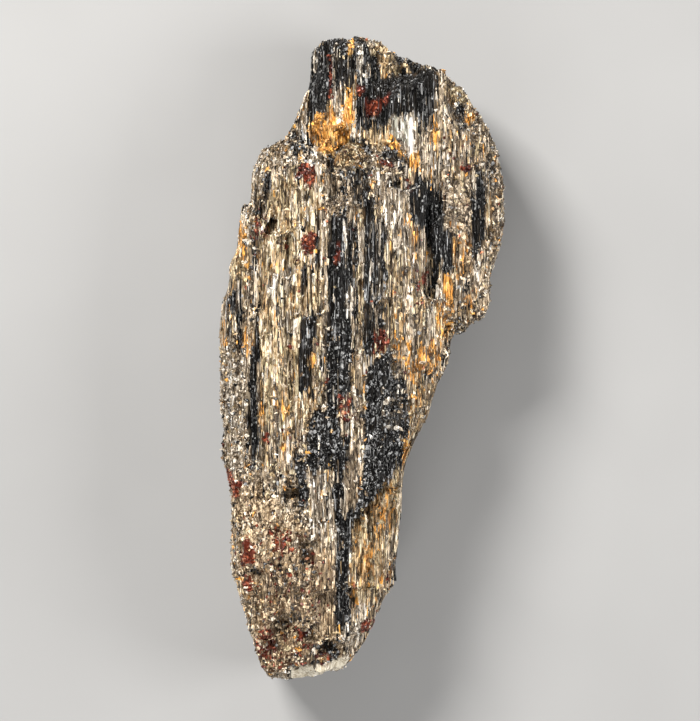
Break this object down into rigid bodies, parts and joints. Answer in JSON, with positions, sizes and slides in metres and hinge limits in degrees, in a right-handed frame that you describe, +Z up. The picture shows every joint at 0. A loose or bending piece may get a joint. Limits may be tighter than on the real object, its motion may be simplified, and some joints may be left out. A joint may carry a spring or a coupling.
{
  "type": "tourmaline crystal",
  "caption": "Black tourmaline mineral specimen: a long bundle of striated crystal columns crusted with mica, lying on its back for display.",
  "frame": {"origin": "centre of the bounding box in plan, on the plane of the flat underside that the specimen lies on", "axes": "+Y along the columns towards the tower end, +X across towards the side with the short lobe, +Z up from the underside to the front face"},
  "size_m": [0.0488, 0.11, 0.032],
  "materials": {
    "tourmaline_and_mica": "black striated tourmaline with a vitreous lustre, mostly covered by glittering beige, silver and gold mica flakes, with orange iron stains and small red grains"
  },
  "bodies": {
    "root": {"tourmaline_crystal": "tourmaline_and_mica"}
  },
  "joints": []
}
